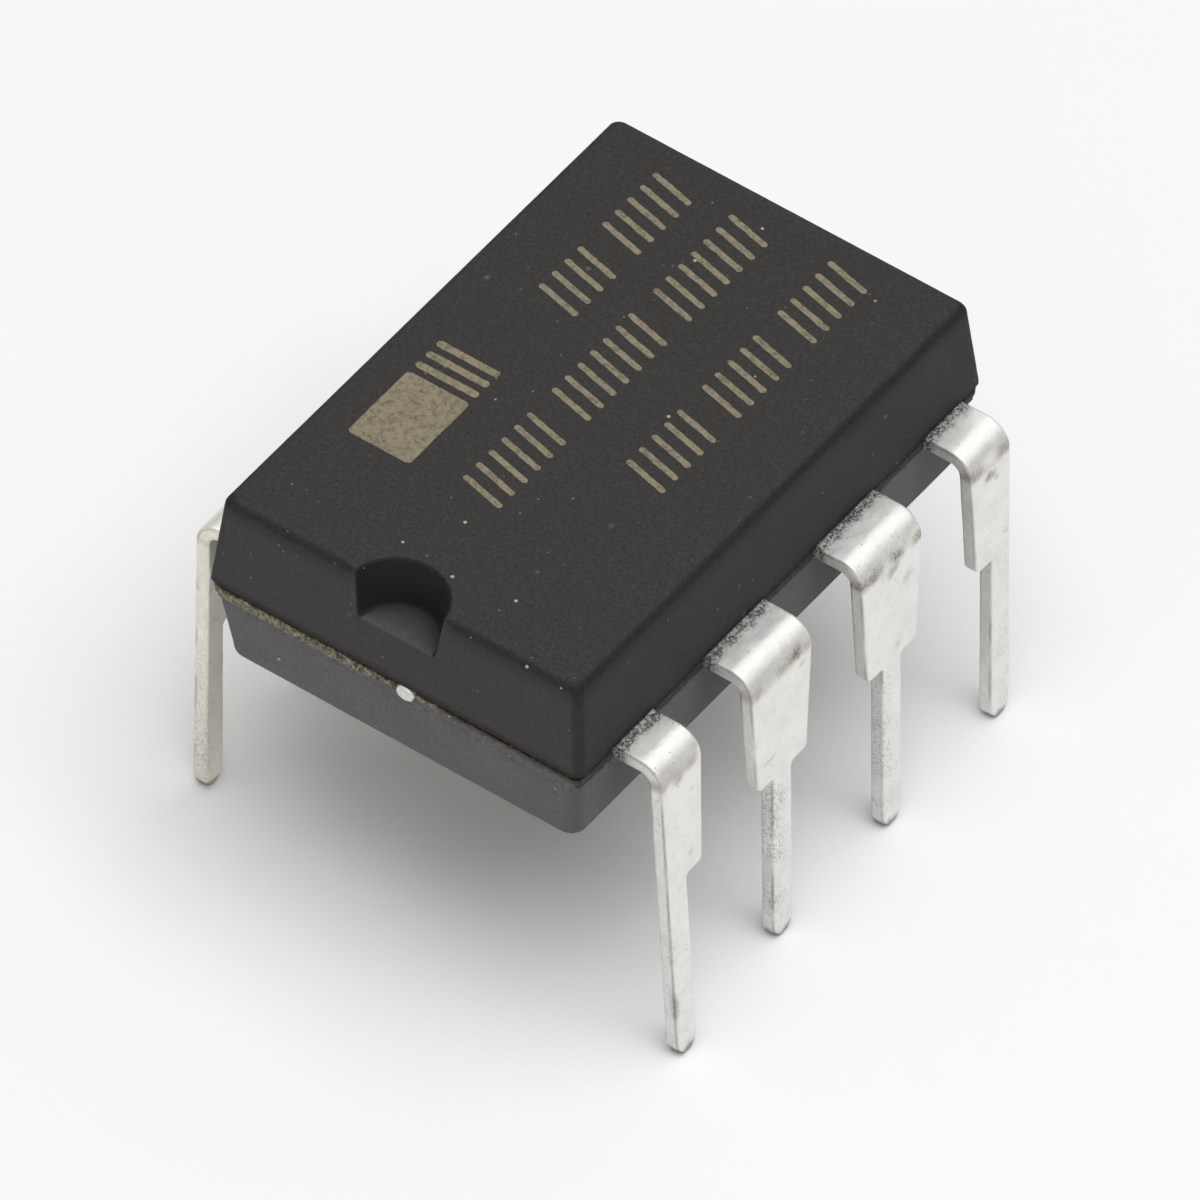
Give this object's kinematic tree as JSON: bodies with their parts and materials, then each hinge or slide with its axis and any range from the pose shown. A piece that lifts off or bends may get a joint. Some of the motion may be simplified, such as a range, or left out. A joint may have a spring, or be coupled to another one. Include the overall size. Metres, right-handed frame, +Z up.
{
  "type": "dip integrated circuit chip",
  "caption": "Dual in-line integrated circuit with a dark moulded body, a half-round index notch at one end and stamped, bent leads down both long sides.",
  "frame": {"origin": "middle of the body in plan, at the height of the lead tips", "axes": "+X across the rows towards lead 1's row, +Y along the body away from the notch, +Z up"},
  "size_m": [0.0084, 0.0094, 0.0071],
  "materials": {
    "moulding": "matt, fine-grained epoxy moulding compound, charcoal black",
    "tin_plate": "satin tin plate with fine pits and light stains",
    "copper_alloy": "bare stamped copper alloy",
    "attach_paste": "dull grey cured paste",
    "silicon": "smooth dark grey",
    "gold_wire": "bright gold"
  },
  "bodies": {
    "root": {"moulded_body": "moulding", "lead_1": "tin_plate", "lead_2": "tin_plate", "lead_3": "tin_plate", "lead_4": "tin_plate", "lead_5": "tin_plate", "lead_6": "tin_plate", "lead_7": "tin_plate", "lead_8": "tin_plate", "die_pad": "copper_alloy", "die_attach": "attach_paste", "die": "silicon", "bond_wire_1": "gold_wire", "bond_wire_2": "gold_wire", "bond_wire_3": "gold_wire", "bond_wire_4": "gold_wire", "bond_wire_5": "gold_wire", "bond_wire_6": "gold_wire", "bond_wire_7": "gold_wire", "bond_wire_8": "gold_wire"}
  },
  "joints": []
}
